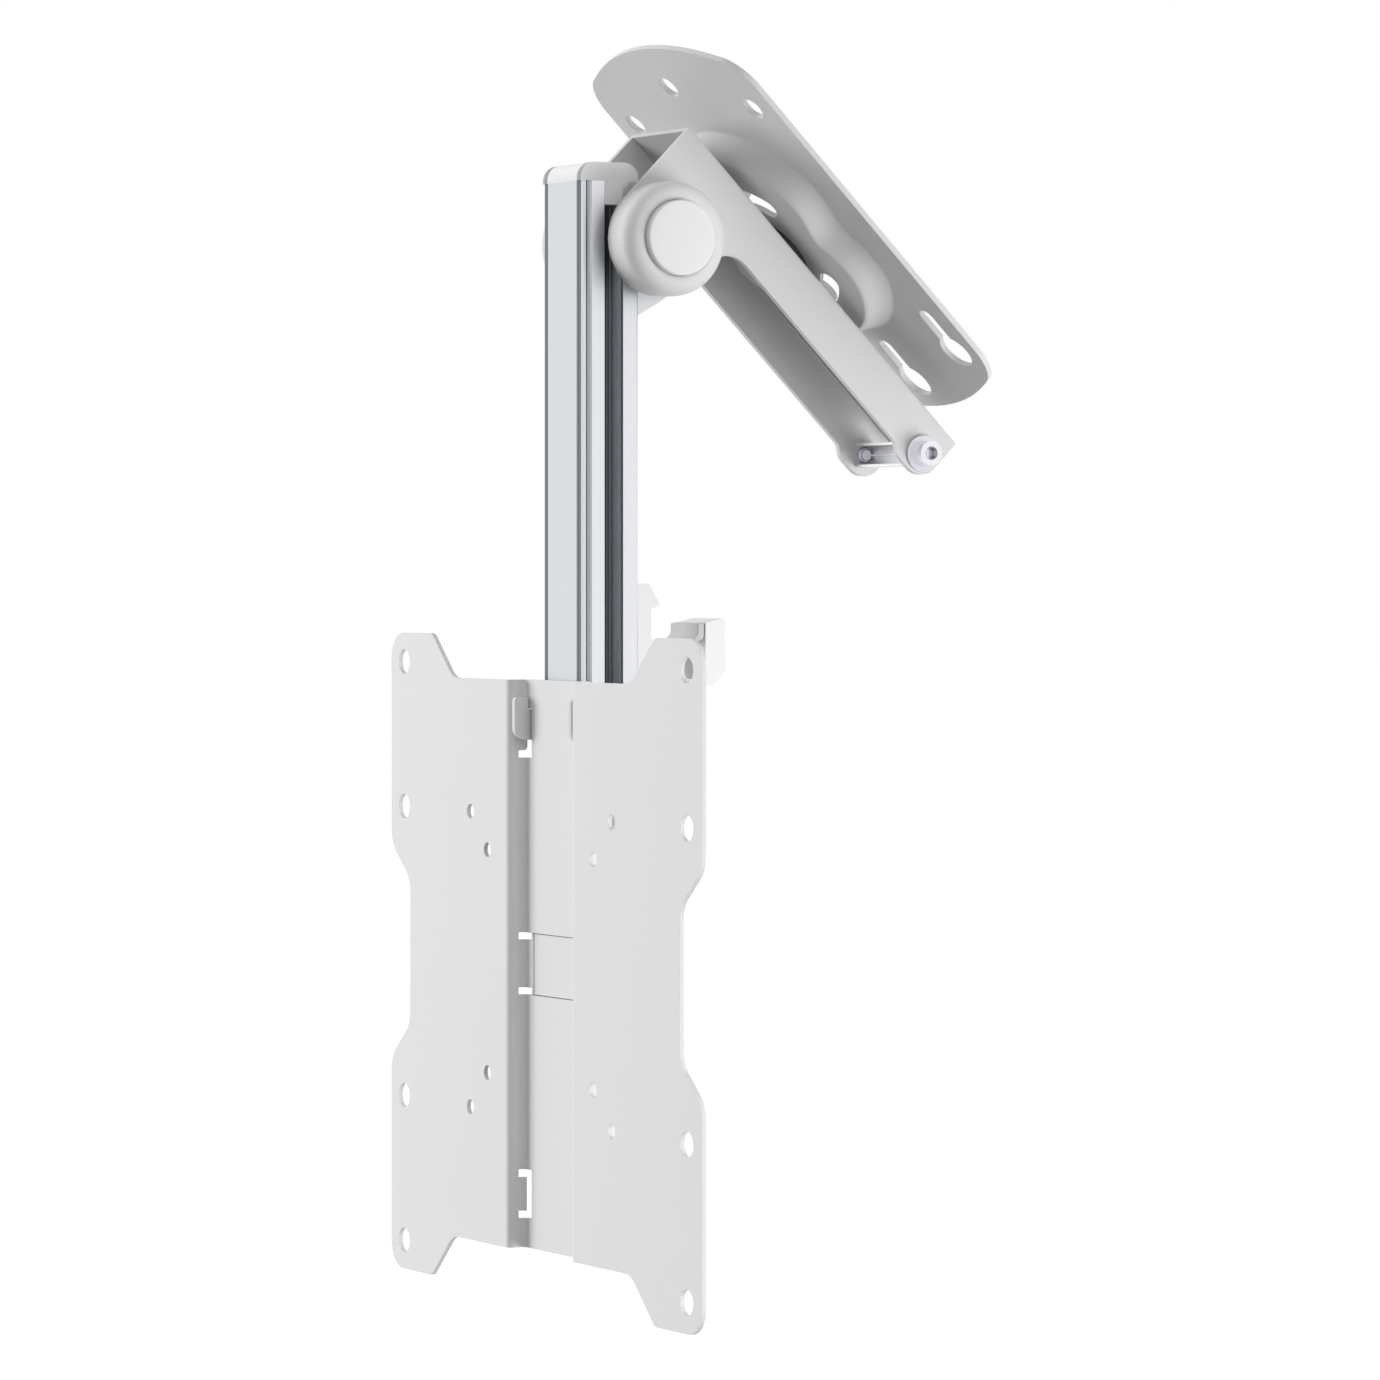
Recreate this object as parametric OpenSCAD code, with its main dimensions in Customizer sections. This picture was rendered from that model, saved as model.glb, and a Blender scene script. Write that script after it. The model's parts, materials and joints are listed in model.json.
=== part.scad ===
// Folding ceiling mount for a television.
// A ceiling plate carries an arm that swivels on a pressed boss. A pole hangs from
// the top of the arm on a friction hinge and carries a sliding carriage, onto which
// the television's plate hooks. The pole folds up against the arm, where a hook and
// a sliding latch hold it by the bar at the arm's lower end.
// It is drawn on a sloped ceiling, with the pole hanging plumb.
// +Z is up, +X runs along the hinge, and the television faces -Y. The origin lies in
// the ceiling plate's mounting face, on the swivel axis. All sizes are millimetres.

/* [Pose] */
// Slope of the ceiling in the drawn pose, degrees
tilt = 45; // [40:0.5:50]

/* [Ceiling plate] */
// Length of the ceiling plate, down the slope
plate_len = 166; // [156:1:190]
// Width of the ceiling plate
plate_w = 104; // [98:1:120]
// Thickness of the ceiling plate's sheet
plate_t = 2; // [1.5:0.1:3]
// Radius of the curved ends of the ceiling plate
plate_end_r = 100; // [90:1:130]
// Radius of the ceiling plate's four corners
plate_corner_r = 15; // [8:1:18]
// Length of the pressed boss, down the slope
boss_len = 92.6; // [88:0.1:96]
// Width that the boss would have without its waist
boss_w = 86.2; // [84:0.1:90]
// Width of the boss at its waist
boss_waist = 70; // [68:1:76]
// Depth of the boss below the plate
boss_h = 8.6; // [8:0.1:10]
// Slope width of the boss's side wall
boss_draft = 6.5; // [4:0.5:8]
// Diameter of the three round screw holes
hole_d = 8.4; // [5:0.1:9]
// Radius of the circle that the round holes lie on
hole_circle_r = 66; // [62:0.5:70]
// Angle from the middle round hole to each outer one, degrees
hole_angle = 37.4; // [30:0.1:42]
// Diameter of a keyhole's wide end
key_d = 13.6; // [11:0.1:15]
// Width of a keyhole's narrow end
key_slot_w = 6.5; // [5:0.1:8]
// Travel from a keyhole's wide end to its narrow end
key_travel = 16; // [12:0.5:18]
// Distance from the swivel axis to the middle keyhole's wide end
key_mid_y = 71; // [68:0.5:72]
// Distance down the slope from the swivel axis to the outer keyholes' wide ends
key_side_y = 59; // [56:0.5:61]
// Distance from the middle line to the outer keyholes
key_side_x = 40; // [36:0.5:41]

/* [Swivel] */
// Distance along the arm from the hinge to the swivel axis
swivel_along = 38.8; // [36:0.1:42]
// Diameter of the swivel bolt's shank
swivel_d = 10; // [8:0.5:10]
// Thickness of the plastic bush flange between boss and arm
bush_flange_t = 3.4; // [2.5:0.1:4]
// Diameter of the bush flange
bush_flange_d = 30; // [24:1:32]
// Distance from the swivel axis to each stop screw
stop_r = 24; // [23:0.5:25]
// Width of the two curved stop slots in the boss
stop_slot_w = 8; // [7:0.1:9]
// Swing of the swivel to each side, degrees
stop_swing = 45; // [30:1:50]
// Diameter of the stop screws
stop_d = 6; // [5:0.5:6]

/* [Arm] */
// Width of the arm over its two walls
arm_w = 40; // [39:0.5:44]
// Thickness of the arm's sheet
arm_t = 2.2; // [1.6:0.1:2.5]
// Radius of the arm wall round the hinge
arm_round_r = 18.8; // [17:0.1:19]
// Distance from the hinge axis to the outer face of the arm's web
arm_web = 34.8; // [34:0.1:38]
// Distance from the hinge axis to the arm's lower end
arm_len = 128.1; // [126:0.1:134]
// Distance from the hinge axis up to the free edge of the arm's narrow part
arm_edge = 17.5; // [16:0.1:19]
// Distance from the arm's lower end back to the catch bar
bar_inset = 7.1; // [6.5:0.1:8]
// Distance from the hinge axis up to the catch bar
bar_up = 22.3; // [21.5:0.1:23]
// Radius of the arm wall round the catch bar
bar_lobe_r = 7.4; // [6.8:0.1:8]

/* [Catch bar] */
// Height of the catch bar's profile
bar_h = 8.4; // [8:0.1:9]
// Depth of the catch bar's profile
bar_d = 7; // [6.6:0.1:7.6]
// Wall of the catch bar's profile
bar_wall = 1; // [0.8:0.1:1.2]
// Diameter of the catch bar's end screws
bar_screw_d = 5; // [4:0.5:5]
// Diameter of the washers under the catch bar's screws
bar_washer_d = 12.5; // [10:0.5:14]

/* [Hinge] */
// Distance from the pole's back face to the hinge axis
pivot_back = 5; // [4:0.1:6]
// Diameter of the hinge bolt
pivot_d = 8; // [6:0.5:8]
// Diameter of the hinge block's barrel
barrel_d = 27; // [24:0.5:28]
// Thickness of each friction disc
disc_t = 1.8; // [1:0.1:2]
// Width of the hinge block across the pole
block_w = 26; // [24:0.5:27]
// Distance from the hinge axis down to the tip of the hinge block
block_drop = 25; // [24:0.5:28]
// Distance from the hinge axis up to the top of the hinge block
block_rise = 18.5; // [18:0.5:19.5]

/* [Hinge covers] */
// Diameter of the round covers
cover_d = 38; // [36:0.5:40]
// Distance that the covers stand out from the arm
cover_h = 12.6; // [12:0.1:15]
// Radius of the covers' rounded outer edge
cover_edge_r = 5.4; // [4:0.1:6]
// Diameter of the raised disc in each cover
cap_d = 25; // [25:0.5:27]
// Distance that the discs stand out from the arm
cap_h = 14.7; // [13.6:0.1:16]

/* [Pole] */
// Length of the aluminium pole
pole_len = 350; // [320:5:420]
// Width of the pole
pole_w = 27; // [27:0.1:28]
// Depth of the pole
pole_d = 21.5; // [21:0.1:22.5]
// Distance from the hinge axis up to the pole's top
pole_rise = 19.3; // [18.5:0.1:20]
// Width of the slots in the pole's sides and back
slot_w = 7; // [6.5:0.1:7.4]
// Distance from the pole's front to the middle of its side slots
slot_y = 12.3; // [12:0.1:12.6]
// Thickness of the lips beside each slot
slot_lip = 2; // [1.6:0.1:2.2]
// Width of the undercut inside a side slot
slot_inner_w = 12.4; // [12:0.1:12.6]
// Depth of the undercut inside a side slot
slot_inner_d = 4.5; // [4:0.1:4.6]
// Height of the pole's plastic top cap
cap_rise = 6.2; // [5.6:0.1:8]
// Radius of the top cap's front and back edges
cap_round_r = 5.2; // [3:0.1:5.4]
// Depth of the top cap's tongues in the side slots
tongue_drop = 7.8; // [6:0.1:12]
// Height of the pole's plastic bottom cap
foot_h = 4; // [3:0.1:6]

/* [Television plate] */
// Distance from the outer screw holes to the television plate's edges
tv_margin = 10; // [8:0.5:20]
// Thickness of the television plate's sheet
tv_t = 1.5; // [1.2:0.1:2]
// Distance from the hinge axis down to the middle of the television plate
tv_drop = 241; // [236:1:250]
// Width of the channel down the middle of the television plate
channel_w = 44; // [43:0.5:46]
// Depth of the channel down the middle of the television plate
channel_d = 6.3; // [6:0.1:7]
// Height of the television plate between its ears
tv_mid_h = 190; // [184:1:200]
// Width between the inner top corners of the ears
ear_gap = 158; // [150:1:166]
// Depth of the notch in each side of the television plate
notch_d = 14.5; // [10:0.5:18]
// Height of the notch in each side of the television plate
notch_h = 50; // [44:1:60]
// Large spacing of the television's screw pattern
vesa_large = 200; // [200:1:204]
// Middle spacing of the television's screw pattern
vesa_mid = 100; // [98:1:102]
// Small spacing of the television's screw pattern
vesa_small = 75; // [72:1:76]
// Diameter of the large screw holes
vesa_large_d = 8.4; // [6:0.1:9]
// Diameter of the small screw holes
vesa_small_d = 5; // [4.2:0.1:5.4]
// Distance from the plate's middle to the outer end of each hook slot
hook_slot_top = 85.3; // [84:0.1:88]
// Height of the hook slots
hook_slot_h = 16.4; // [16:0.1:18]
// Height of the pad that is pressed back in the channel
pad_h = 20.8; // [16:0.1:24]
// Distance that the pad is pressed back
pad_press = 0.4; // [0.2:0.1:0.4]

/* [Carriage] */
// Thickness of the carriage's sheet
carriage_t = 2; // [1.6:0.1:2.2]
// Width of the carriage over its two flanges
carriage_w = 41.6; // [41:0.1:42]
// Height of the hook's neck
hook_neck_h = 10.2; // [9:0.1:10.8]
// Height of the hook's finger above its neck
hook_finger_h = 4.2; // [3.6:0.1:4.6]
// Distance from the carriage's flange to the hook's front edge
hook_reach = 7.4; // [6.8:0.1:7.8]
// Length of each guide shoe
shoe_len = 36; // [30:1:40]
// Diameter of the carriage's clamp screws
clamp_d = 6; // [5:0.5:6]

/* [Catch] */
// Distance that the catch hook's top stands inside the catch bar's swing
hook_rise = 9.1; // [8.4:0.1:9.6]
// Distance from the pole's back face to the hook's neck
hook_neck = 11.5; // [11:0.1:12]
// Distance that the barb stands out from the neck
barb_out = 3.4; // [2.6:0.1:3.6]
// Thickness of the hook's sheet
catch_t = 3; // [2.5:0.1:4]
// Width of the latch block
latch_w = 20; // [18:0.5:22]
// Distance from the pole's back face to the front of the latch block
latch_front = 25; // [24.6:0.1:27]
// Depth of the latch block
latch_d = 10; // [9:0.1:12]
// Distance that the latch block's top lies outside the catch bar's swing
latch_drop = 3.9; // [3.9:0.1:5]
// Height of the latch block
latch_h = 21; // [19:0.5:23]
// Travel of the latch block, up behind the catch bar
latch_travel = 6; // [4:0.5:6.5]
// Diameter of the guide rod that the latch block slides on
post_d = 5; // [4:0.1:6]

/* [Hidden] */
$fn = 48;

// Gap of a running fit, on the radius
run_gap = 0.05;
// Gap between two faces that slide past each other
slide_gap = 0.1;
// Gap beside a part that only has to clear
free_gap = 0.3;
// Gap on the radius between a screw and its thread, which is left plain
thread_gap = 0.05;
// Gap on the radius between a screw and its clearance hole
screw_gap = 0.3;
// Amount that a cut runs past the face it opens
past = 1;

// Heights of the faces stacked on the swivel axis, below the mounting face
boss_in = -boss_h;
boss_out = -boss_h - plate_t;
web_out = boss_out - slide_gap - bush_flange_t;
web_in = web_out - arm_t;
disc_spring_t = 1.5;
bar_washer_t = 1.2;
disc_spring_d = 20;
swivel_nut_h = 4.5;
swivel_head_h = 5;
swivel_flats = 16;
swivel_nut_flats = 14;
stop_nut_h = 4;
stop_head_h = 3;
stop_flats = 10;

// Place of the hinge axis seen from the swivel axis, along and away from the ceiling
pivot_along = -swivel_along;
pivot_up = web_out - arm_web;
pivot_y = pivot_along * cos(tilt) + pivot_up * sin(tilt);
pivot_z = -pivot_along * sin(tilt) + pivot_up * cos(tilt);

// Faces across the hinge, measured from the middle plane
wall_out = arm_w / 2;
wall_in = wall_out - arm_t;
barrel_end = wall_in - slide_gap - disc_t;
pivot_washer_t = 1.5;
pivot_washer_d = 20;
pivot_flats = 16;
pivot_head_h = 6.4;
pivot_nut_h = 8;
cover_bore_d = cap_d - 2.4;

// Faces of the pole and of what it carries, measured from the hinge axis
pole_back = -pivot_back;
pole_front = pole_back - pole_d;
pole_bottom = pole_rise - pole_len;
tv_floor_gap = 0.7;
tv_size = vesa_large + 2 * tv_margin;
tv_front = pole_front - tv_floor_gap - tv_t - channel_d;
tv_floor_back = tv_front + channel_d + tv_t;
slot_mid = pole_front + slot_y;

notch_len = 2.4;
slot_inner = channel_w / 2 - 4.7;
pad_half = slot_inner - 1;

// Widths of the rear slot's undercut and of the nuts that sit in the slots
rear_inner_w = 11.2;
rear_inner_d = 4.4;
slot_nut_t = 3.8;
slot_nut_len = 12;
m5_d = 5;
m5_head_d = 8.5;
m5_head_h = 5;
m5_key = 4;

// Faces of the carriage
flange_out = carriage_w / 2;
flange_in = flange_out - carriage_t;
flange_front = tv_floor_back + free_gap;
web_gap = 0.5;
carriage_back = pole_back + web_gap + carriage_t;
carriage_top = 88;
carriage_web_top = 68;
carriage_bottom = -92;
shoe_z = [30, -25];
clamp_z = [for (z = shoe_z) z + shoe_len / 2];
clamp_head_h = 3.6;

// Places of the catch, measured from the hinge axis
bar_along = arm_len - bar_inset;
insert_len = 3.5;
bar_reach = norm([bar_along, bar_up]);
hook_top = bar_reach - hook_rise;
latch_top = bar_reach + latch_drop;
bar_tilt_y = bar_along * cos(tilt) + bar_up * sin(tilt);
bar_tilt_z = -bar_along * sin(tilt) + bar_up * cos(tilt);
catch_base_w = 22;
catch_base_bottom = -tv_drop + 74;
catch_base_top = -tv_drop + 96;
catch_base_t = 2.5;
catch_screw_z = [-tv_drop + 79, -tv_drop + 91];
catch_screw_x = 7.4;
catch_screw_d = 3;
catch_screw_depth = 2.1;
latch_bottom = -latch_top - latch_h;
post_y = pole_back + latch_front + latch_d / 2;
post_low = latch_bottom + 2;
post_top = latch_bottom + 12;
pad_t = 2.3;
latch_pad_h = 8.4;
pad_gap = 0.3;
latch_rise = 1.6;

// Distance along the arm to the notch in its web that the raised latch block stands in
latch_clear = min(
    norm([pole_back + latch_front, latch_top + 0.3 - latch_travel]),
    norm([pole_back + latch_front + latch_d, latch_top - latch_rise - latch_travel])) - 0.7;
notch_along = sqrt(latch_clear * latch_clear - arm_web * arm_web);
notch_w = latch_w + 2.4;

// Distances from the hinge axis to the hinge block's two screws
hinge_screw_drop = 17.8;
hinge_screw_rise = 13.2;

// First two numbers of a point
function xy(p) = [p[0], p[1]];

// A vector at length one
function unit(v) = v / norm(v);

// Points of an arc from one angle to another
function arc(c, r, from, to, n) =
    [for (i = [0:n]) c + r * [cos(from + (to - from) * i / n), sin(from + (to - from) * i / n)]];

// The corner q between p and s, rounded to radius r
function fillet(p, q, s, r, n) =
    r <= 0 ? [q] :
    let (u = unit(p - q), w = unit(s - q), half = acos(u * w) / 2)
    let (c = q + unit(u + w) * r / sin(half), a = q + u * r / tan(half), b = q + w * r / tan(half))
    let (start = atan2(a.y - c.y, a.x - c.x), end = atan2(b.y - c.y, b.x - c.x))
    arc(c, r, start, start + (end - start + 540) % 360 - 180, n);

// An outline with its corners rounded, from a list of [x, y, radius]
function rounded(v, n = 6) =
    let (m = len(v))
    [for (i = [0:m - 1]) each fillet(xy(v[(i + m - 1) % m]), xy(v[i]), xy(v[(i + 1) % m]), v[i][2], n)];

// A half outline joined to its mirror image across the Y axis
function mirrored(v) = concat(v, [for (i = [len(v) - 1:-1:0]) [-v[i][0], v[i][1], v[i][2]]]);

// An outline on the YZ plane drawn out along X, about the middle plane
module along_x(w) rotate([90, 0, 90]) translate([0, 0, -w / 2]) linear_extrude(w) children();

// A round bar along X from x0 to x1
module rod_x(r, x0, x1) translate([x0, 0, 0]) rotate([0, 90, 0]) cylinder(r = r, h = x1 - x0);

// A round bar along Y from y0 to y1
module rod_y(r, y0, y1) translate([0, y0, 0]) rotate([-90, 0, 0]) cylinder(r = r, h = y1 - y0);

// A six-sided bar along Z, sized across its flats
module hex_z(flats, z0, z1) translate([0, 0, z0]) cylinder(d = flats / cos(30), h = z1 - z0, $fn = 6);

// Parts drawn flat on the ceiling, with the origin on the swivel axis
module on_slope() rotate([-tilt, 0, 0]) children();

// Parts drawn on the arm, with the origin on the hinge axis
module on_arm() on_slope() translate([0, pivot_along, pivot_up]) children();

// Parts drawn on the hanging pole, with the origin on the hinge axis
module on_pole() translate([0, pivot_y, pivot_z]) children();

// Parts drawn on the television plate's height, with the origin at its middle
module on_tv() on_pole() translate([0, 0, -tv_drop]) children();

// Parts drawn at the catch bar, upright as in the drawn pose
module on_bar() on_pole() translate([0, bar_tilt_y, bar_tilt_z]) children();

// Outline of the ceiling plate
module plate_outline() {
    slope = asin(plate_w * 0.36 / plate_end_r);
    apex = plate_len / 2 + plate_end_r * (1 / cos(slope) - 1);
    corner = apex - plate_w / 2 * tan(slope);
    polygon(rounded([
        [plate_w / 2, -corner, plate_corner_r],
        [plate_w / 2, corner, plate_corner_r],
        [0, apex, plate_end_r],
        [-plate_w / 2, corner, plate_corner_r],
        [-plate_w / 2, -corner, plate_corner_r],
        [0, -apex, plate_end_r]
    ], 8));
}

// Distance from the swivel axis to the boss's outline, in one direction
function boss_r(a) =
    boss_len / 2 - (boss_len - boss_w) / 2 * pow(sin(a), 2)
    - (boss_w - boss_waist) / 2 * pow(sin(a), 16);

// One ring of the boss, drawn in by an amount
function boss_ring(inset, z, n) =
    [for (k = [0:n - 1]) let (a = 360 * k / n, r = boss_r(a) - inset) [r * sin(a), r * cos(a), z]];

// The boss's side as a smooth step from z0 down to z1, closed at both ends
module boss_loft(z0, z1, lead, shrink = 0) {
    n = 48;
    steps = 6;
    rings = concat(
        [boss_ring(shrink, z0 + lead, n)],
        [for (i = [0:steps])
            boss_ring(shrink + boss_draft * i / steps, z0 + (z1 - z0) * (1 - cos(180 * i / steps)) / 2, n)]
    );
    points = [for (ring = rings) each ring];
    last = (len(rings) - 1) * n;
    sides = [for (j = [0:len(rings) - 2], k = [0:n - 1])
        let (a = j * n + k, b = j * n + (k + 1) % n)
        each [[a, a + n, b], [b, a + n, b + n]]];
    polyhedron(points, concat(
        sides,
        [[for (k = [0:n - 1]) k]],
        [[for (k = [n - 1:-1:0]) last + k]]
    ));
}

// A keyhole cut, wide end at the origin and narrow end up the slope
module keyhole() {
    translate([0, 0, -plate_t - past]) {
        cylinder(d = key_d, h = plate_t + 2 * past);
        translate([0, -key_travel, 0]) cylinder(d = key_slot_w, h = plate_t + 2 * past);
        translate([-key_slot_w / 2, -key_travel, 0]) cube([key_slot_w, key_travel, plate_t + 2 * past]);
    }
}

// A slot curved about the swivel axis, cut through the boss's face
module stop_slot() {
    ring_h = plate_t + 2 * past;
    translate([0, 0, boss_out - past]) {
        for (a = [-stop_swing, stop_swing]) rotate(a) translate([0, stop_r, 0])
            cylinder(d = stop_slot_w, h = ring_h);
        rotate(90 - stop_swing)
            rotate_extrude(angle = 2 * stop_swing)
            translate([stop_r - stop_slot_w / 2, 0]) square([stop_slot_w, ring_h]);
    }
}

module ceiling_plate() {
    color("whitesmoke") on_slope() difference() {
        union() {
            translate([0, 0, -plate_t]) linear_extrude(plate_t) plate_outline();
            boss_loft(-plate_t, boss_out, 0.8);
        }
        boss_loft(0, boss_in, past, 1.2);
        for (a = [-hole_angle, 0, hole_angle]) rotate(180 + a)
            translate([0, hole_circle_r, -plate_t - past]) cylinder(d = hole_d, h = plate_t + 2 * past);
        translate([0, key_mid_y, 0]) keyhole();
        for (s = [-1, 1]) translate([s * key_side_x, key_side_y, 0]) keyhole();
        translate([0, 0, boss_out - past]) cylinder(r = swivel_d / 2 + run_gap, h = plate_t + 2 * past);
        for (a = [0, 180]) rotate(a) stop_slot();
    }
}

module swivel_bolt() {
    end = web_in - disc_spring_t - swivel_nut_h - 0.4;
    color("silver") on_slope() {
        translate([0, 0, end]) cylinder(d = swivel_d, h = boss_in - end);
        hex_z(swivel_flats, boss_in, boss_in + swivel_head_h);
    }
}

module swivel_nut() {
    top = web_in - disc_spring_t - slide_gap;
    color("silver") on_slope() difference() {
        hex_z(swivel_nut_flats, top - swivel_nut_h, top);
        translate([0, 0, top - swivel_nut_h - past])
            cylinder(r = swivel_d / 2 + thread_gap, h = swivel_nut_h + 2 * past);
    }
}

module swivel_bush() {
    color("dimgray") on_slope() difference() {
        union() {
            translate([0, 0, web_out]) cylinder(d = bush_flange_d, h = bush_flange_t);
            translate([0, 0, web_in]) cylinder(d = swivel_d + 2.8, h = arm_t);
        }
        translate([0, 0, web_in - past])
            cylinder(r = swivel_d / 2 + run_gap, h = arm_t + bush_flange_t + 2 * past);
    }
}

module swivel_disc_spring() {
    inner = swivel_d / 2 + 0.4;
    outer = disc_spring_d / 2;
    color("gray") on_slope() translate([0, 0, web_in]) rotate_extrude()
        polygon([[inner, -disc_spring_t], [outer, -1], [outer, 0], [inner, -disc_spring_t + 1]]);
}

module stop_screws() {
    color("silver") on_slope() for (s = [-1, 1]) translate([0, s * stop_r, 0]) {
        difference() {
            union() {
                translate([0, 0, boss_in + slide_gap]) cylinder(d = stop_d + 4.4, h = stop_head_h);
                translate([0, 0, web_in - stop_nut_h - past])
                    cylinder(d = stop_d, h = boss_in + slide_gap - web_in + stop_nut_h + past);
            }
            hex_z(4, boss_in + 1.4, boss_in + stop_head_h + past);
        }
    }
}

module stop_nuts() {
    color("silver") on_slope() for (s = [-1, 1])
        translate([0, s * stop_r, web_in - stop_nut_h]) difference() {
        hex_z(stop_flats, 0, stop_nut_h);
        translate([0, 0, -past]) cylinder(r = stop_d / 2 + thread_gap, h = stop_nut_h + 2 * past);
    }
}

// Side outline of the arm's walls, on the hinge axis
module arm_side() {
    low = bar_up - bar_lobe_r;
    polygon(rounded([
        [-arm_round_r, arm_web, 0.6],
        [-arm_round_r, -arm_round_r, arm_round_r * 0.999],
        [arm_round_r, -arm_round_r, arm_round_r * 0.999],
        [arm_round_r, arm_edge, 9],
        [bar_along - bar_lobe_r - 2.6, arm_edge, 4],
        [bar_along - bar_lobe_r + 1, low, 4],
        [arm_len, low, bar_lobe_r],
        [arm_len, arm_web, 0.6]
    ], 8));
}

module arm_bracket() {
    color("whitesmoke") on_arm() difference() {
        intersection() {
            along_x(arm_w) arm_side();
            translate([0, arm_len + past, 0]) rotate([90, 0, 0])
                linear_extrude(arm_len + arm_round_r + 2 * past)
                polygon(rounded([
                    [wall_out, -arm_round_r - past, 0],
                    [wall_out, arm_web, 1.6],
                    [-wall_out, arm_web, 1.6],
                    [-wall_out, -arm_round_r - past, 0],
                    [-wall_in, -arm_round_r - past, 0],
                    [-wall_in, arm_web - arm_t, 0.6],
                    [wall_in, arm_web - arm_t, 0.6],
                    [wall_in, -arm_round_r - past, 0]
                ], 4));
        }
        rod_x(pivot_d / 2 + screw_gap, -wall_out - past, wall_out + past);
        translate([0, bar_along, bar_up])
            rod_x(bar_screw_d / 2 + screw_gap, -wall_out - past, wall_out + past);
        translate([0, swivel_along, arm_web - arm_t - past]) {
            cylinder(d = swivel_d + 3, h = arm_t + 2 * past);
            for (s = [-1, 1]) translate([0, s * stop_r, 0])
                cylinder(r = stop_d / 2 + screw_gap, h = arm_t + 2 * past);
        }
        translate([-notch_w / 2, notch_along, arm_web - arm_t - 2 * past])
            cube([notch_w, arm_len, arm_t + 4 * past]);
    }
}

// Cross-section of the catch bar, open towards the pole, on its own axis
module bar_section() {
    difference() {
        square([bar_d, bar_h], center = true);
        translate([-bar_wall, 0]) square([bar_d, bar_h - 2 * bar_wall], center = true);
    }
    translate([bar_d / 2 - bar_wall - 0.5, -0.4]) square([0.6, 0.8]);
}

module catch_bar() {
    color("silver") on_bar() along_x(2 * wall_in) bar_section();
}

module bar_inserts() {
    r = bar_h / 2 - bar_wall - 0.05;
    flat = bar_d / 2 - bar_wall - 0.55;
    color("darkgray") on_bar() for (s = [-1, 1]) mirror([s < 0 ? 1 : 0, 0, 0]) difference() {
        intersection() {
            rod_x(r, wall_in - insert_len, wall_in);
            translate([0, -bar_d / 2, -bar_h]) cube([wall_out, bar_d / 2 + flat, 2 * bar_h]);
        }
        rod_x(bar_screw_d / 2 - 0.5 + thread_gap, wall_in - insert_len - past, wall_in + past);
    }
}

module bar_screws() {
    seat = wall_out + bar_washer_t;
    color("silver") on_bar() for (s = [-1, 1]) mirror([s < 0 ? 1 : 0, 0, 0]) difference() {
        union() {
            rod_x(bar_screw_d / 2 - 0.5, wall_in - insert_len + 0.5, wall_in);
            rod_x(bar_screw_d / 2, wall_in, seat);
            rod_x(m5_head_d / 2, seat, seat + m5_head_h);
        }
        translate([seat + m5_head_h - 2.6, 0, 0]) rotate([0, 90, 0]) hex_z(m5_key, 0, m5_head_h);
    }
}

module bar_washers() {
    color("silver") on_bar() for (s = [-1, 1]) mirror([s < 0 ? 1 : 0, 0, 0]) difference() {
        rod_x(bar_washer_d / 2, wall_out, wall_out + bar_washer_t);
        rod_x(bar_screw_d / 2 + screw_gap, wall_out - past, wall_out + bar_washer_t + past);
    }
}

module pivot_bolt() {
    color("silver") on_pole() {
        rod_x(pivot_d / 2, -wall_out - pivot_washer_t, wall_out + pivot_washer_t + pivot_nut_h + 1);
        translate([-wall_out - pivot_washer_t - pivot_head_h, 0, 0]) rotate([0, 90, 0])
            hex_z(pivot_flats, 0, pivot_head_h);
    }
}

module pivot_nut() {
    start = wall_out + pivot_washer_t;
    color("silver") on_pole() difference() {
        translate([start, 0, 0]) rotate([0, 90, 0]) hex_z(pivot_flats, 0, pivot_nut_h);
        rod_x(pivot_d / 2 + thread_gap, start - past, start + pivot_nut_h + past);
    }
}

module pivot_washers() {
    color("gray") on_pole() for (s = [-1, 1]) mirror([s < 0 ? 1 : 0, 0, 0]) difference() {
        rod_x(pivot_washer_d / 2, wall_out, wall_out + pivot_washer_t);
        rod_x(pivot_d / 2 + 0.2, wall_out - past, wall_out + pivot_washer_t + past);
    }
}

// Revolved section of a cover ring: distance from the arm, then radius
module cover_ring() {
    r = cover_d / 2;
    bore = cover_bore_d / 2;
    color("whitesmoke") on_pole() translate([wall_out, 0, 0]) rotate([0, 90, 0]) rotate_extrude($fn = 72)
        polygon(rounded([
            [bore, 0, 0],
            [r, 0, 0.4],
            [r, cover_h, cover_edge_r],
            [cap_d / 2 + 1, cover_h - 0.5, 0.8],
            [cap_d / 2 + 0.4, cover_h - 1.6, 0],
            [bore, cover_h - 1.6, 0]
        ], 8));
}

module cover_ring_right() cover_ring();

module cover_ring_left() mirror([1, 0, 0]) cover_ring();

// A domed disc with a plug that clips into the cover ring
module cover_cap() {
    plug = cover_bore_d / 2 - slide_gap;
    seat = cover_h - 1.6;
    color("white") on_pole() translate([wall_out, 0, 0]) rotate([0, 90, 0]) rotate_extrude($fn = 72)
        polygon(rounded([
            [0, seat, 0],
            [plug - 1.6, seat, 0],
            [plug - 1.6, seat - 3, 0],
            [plug, seat - 3, 0.4],
            [plug, seat, 0],
            [cap_d / 2, seat, 0],
            [cap_d / 2, cap_h, 0.9],
            [0, cap_h + 0.4, 0]
        ], 6));
}

module cover_cap_right() cover_cap();

module cover_cap_left() mirror([1, 0, 0]) cover_cap();

module friction_discs() {
    color("dimgray") on_pole() for (s = [-1, 1]) mirror([s < 0 ? 1 : 0, 0, 0]) difference() {
        rod_x(barrel_d / 2 - 1, barrel_end, barrel_end + disc_t);
        rod_x(pivot_d / 2 + 0.2, barrel_end - past, barrel_end + disc_t + past);
    }
}

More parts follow.
